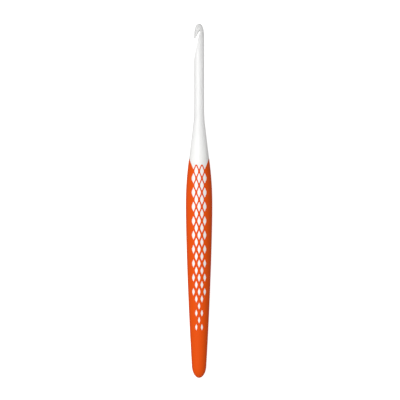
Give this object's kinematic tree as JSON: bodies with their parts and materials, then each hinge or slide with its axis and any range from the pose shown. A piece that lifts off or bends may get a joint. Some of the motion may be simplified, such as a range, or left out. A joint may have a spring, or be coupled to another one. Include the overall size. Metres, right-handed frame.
{
  "type": "crochet hook",
  "caption": "Crochet hook with a rigid two-shot core, an in-line throat and a drop-shaped soft handle with lozenge windows.",
  "frame": {"origin": "on the table that the hook lies on, under the middle of its length", "axes": "+Y runs along the hook from the butt to the nose; the throat opens towards -X; the windows face up and down, along Z, the two ways that the moulds open"},
  "size_m": [0.012, 0.16, 0.012],
  "materials": {
    "rigid_polymer": "white, moulded, satin to semi-gloss",
    "soft_touch_elastomer": "orange, moulded, fine matt grain"
  },
  "bodies": {
    "root": {"hook_core": "rigid_polymer", "soft_grip": "soft_touch_elastomer"}
  },
  "joints": []
}
